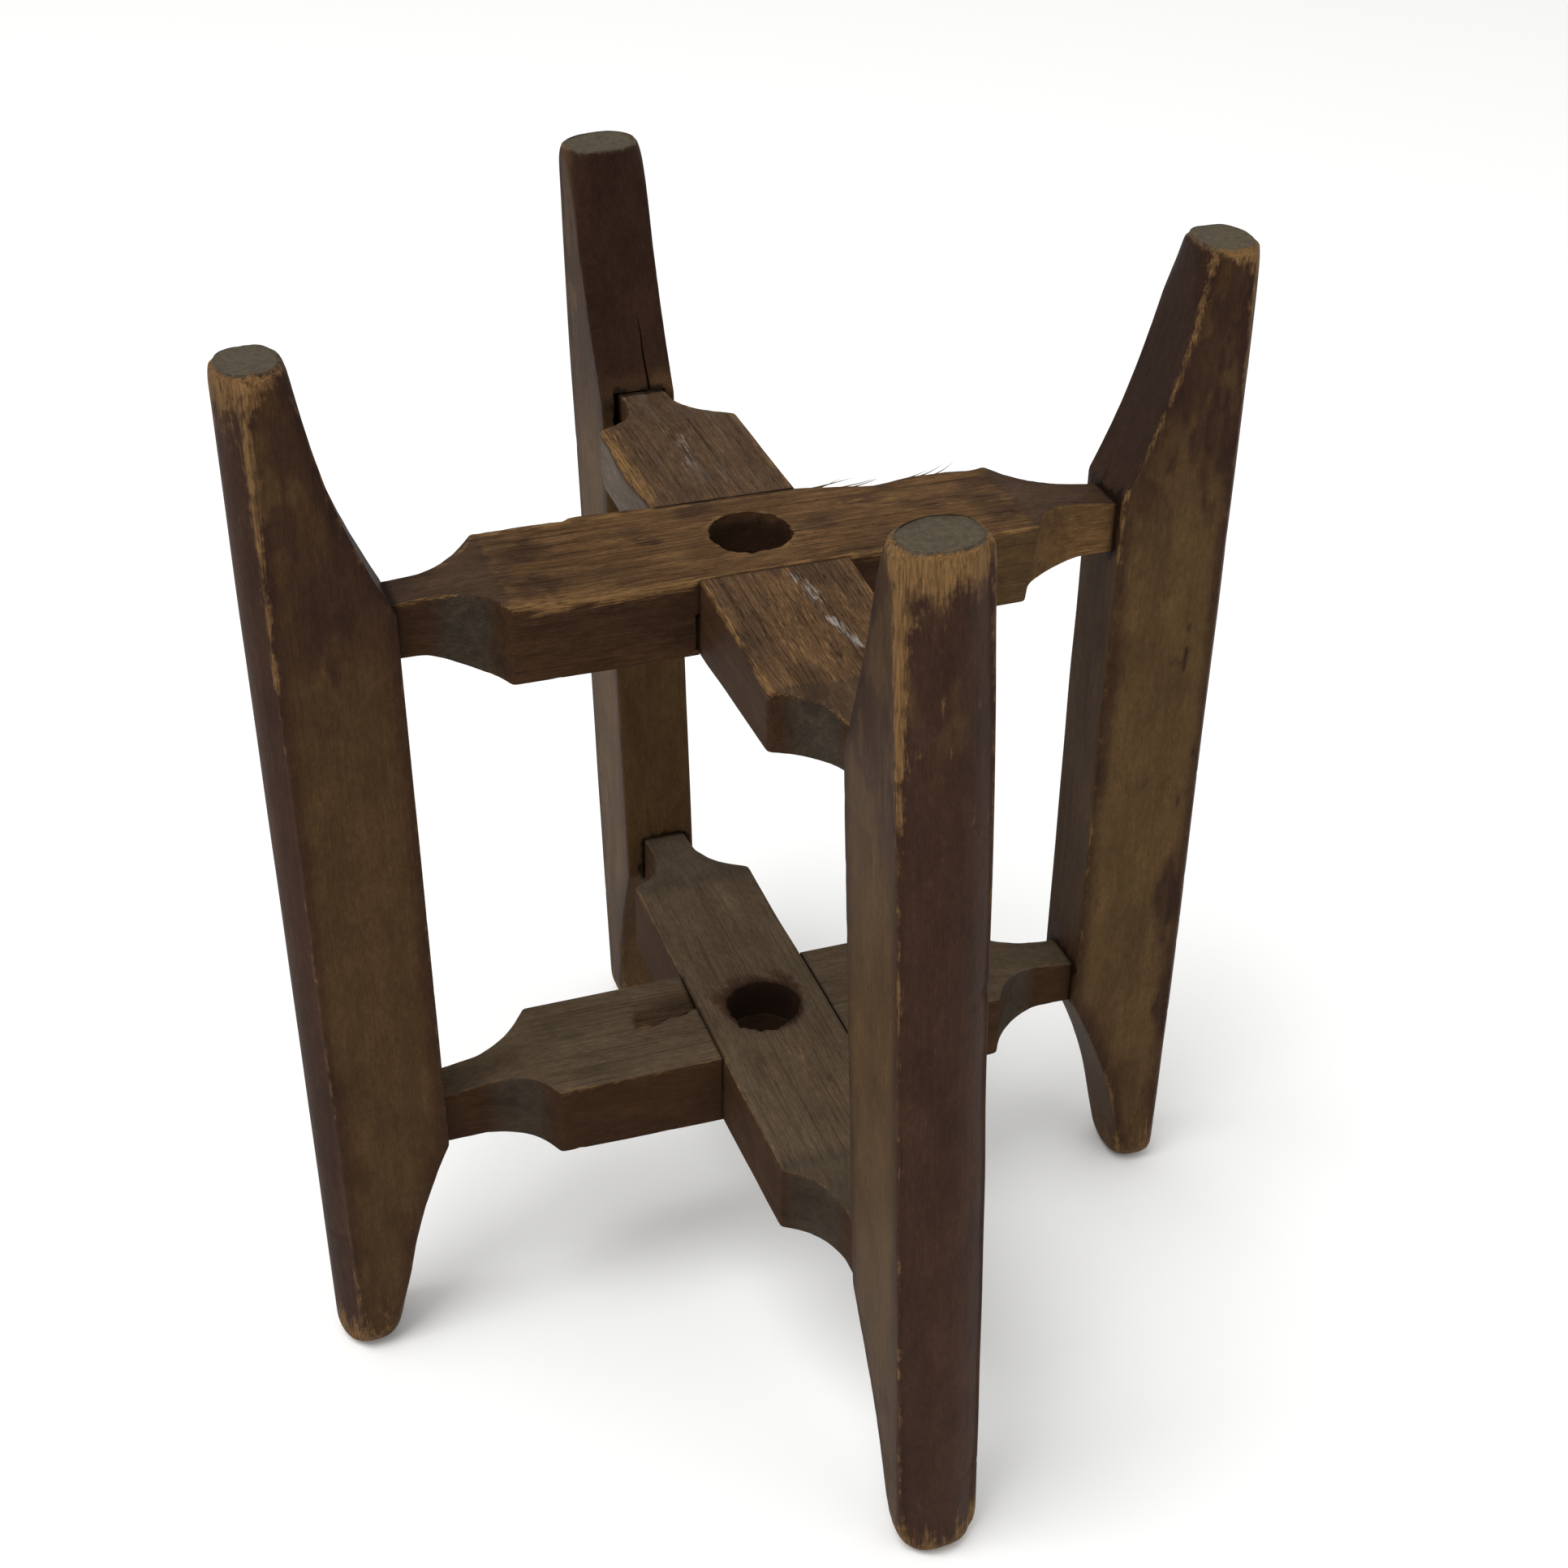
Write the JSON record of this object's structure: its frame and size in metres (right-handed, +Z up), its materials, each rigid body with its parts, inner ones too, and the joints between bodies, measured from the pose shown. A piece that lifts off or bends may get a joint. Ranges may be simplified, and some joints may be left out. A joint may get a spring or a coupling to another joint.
{
  "type": "thread reel",
  "caption": "Wooden thread reel frame: tapered, round-tipped posts tenoned to flat half-lapped crosses with a round spindle bore; the free post tips can also hang mugs.",
  "frame": {"origin": "on the ground in the middle of the reel's outline, under the spindle axis", "axes": "+Z up along the spindle axis, X along the left-right arms (+X right), Y along the front-back arms, front of the reel towards -Y"},
  "size_m": [0.2102, 0.21, 0.2375],
  "materials": {
    "post_wood": "old dark red-brown stain, rubbed to a soft satin, arrises and tips worn to tan",
    "upper_cross_wood": "orange-brown worn wood with strong long grain, satin",
    "lower_cross_wood": "dusty grey-brown worn wood, matt"
  },
  "bodies": {
    "root": {"post_left": "post_wood", "post_front": "post_wood", "post_right": "post_wood", "post_back": "post_wood", "upper_arm_left_right": "upper_cross_wood", "upper_arm_front_back": "upper_cross_wood", "lower_arm_front_back": "lower_cross_wood", "lower_arm_left_right": "lower_cross_wood"}
  },
  "joints": []
}
